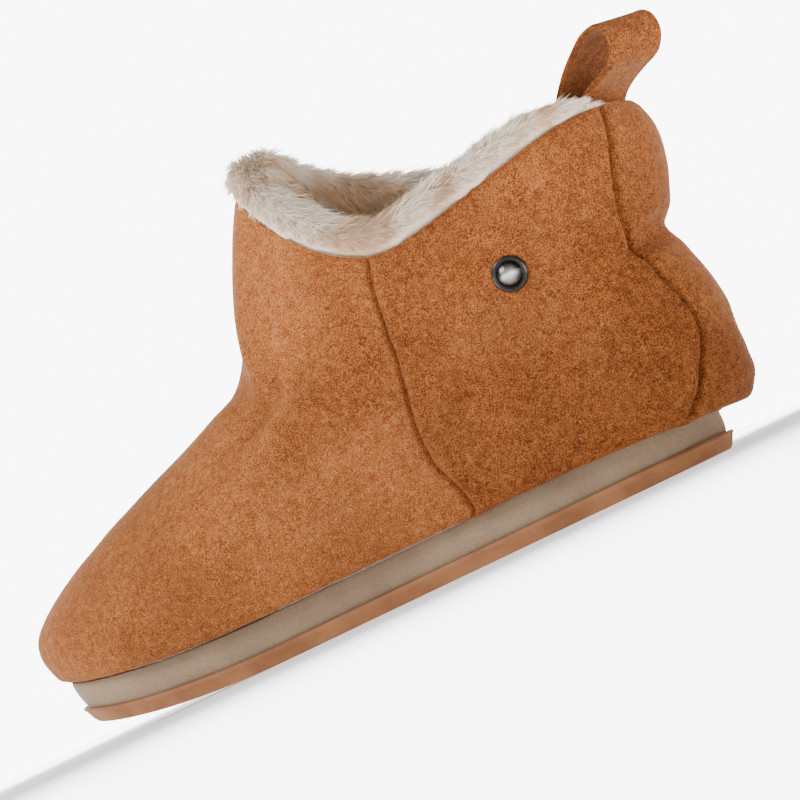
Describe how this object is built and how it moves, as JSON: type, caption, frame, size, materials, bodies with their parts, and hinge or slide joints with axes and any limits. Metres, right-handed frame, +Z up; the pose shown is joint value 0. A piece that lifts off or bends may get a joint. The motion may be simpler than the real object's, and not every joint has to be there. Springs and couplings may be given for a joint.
{
  "type": "bootie slipper",
  "caption": "Low suede slipper boot for the left foot, with fur collar and lining, heel pull loop, side rivet and flat ribbed rubber sole.",
  "frame": {"origin": "middle of the footprint's bounding box, on the floor under the sole", "axes": "+Z up, toe towards -X, heel towards +X, outer (lateral) side towards -Y"},
  "size_m": [0.3156, 0.1072, 0.1722],
  "materials": {
    "suede": "short cognac nap, matt, softly mottled",
    "band": "taupe microfibre suede, matt",
    "rubber_sole": "tan moulded rubber, low sheen",
    "pile": "cream faux fur, beige at the tips",
    "rivet_metal": "antiqued gunmetal, plain domed cap"
  },
  "bodies": {
    "root": {"upper": "suede", "pull_loop": "suede", "midsole": "band", "outsole": "rubber_sole", "insole": "pile", "fur_collar": "pile", "rivet": "rivet_metal"}
  },
  "joints": []
}
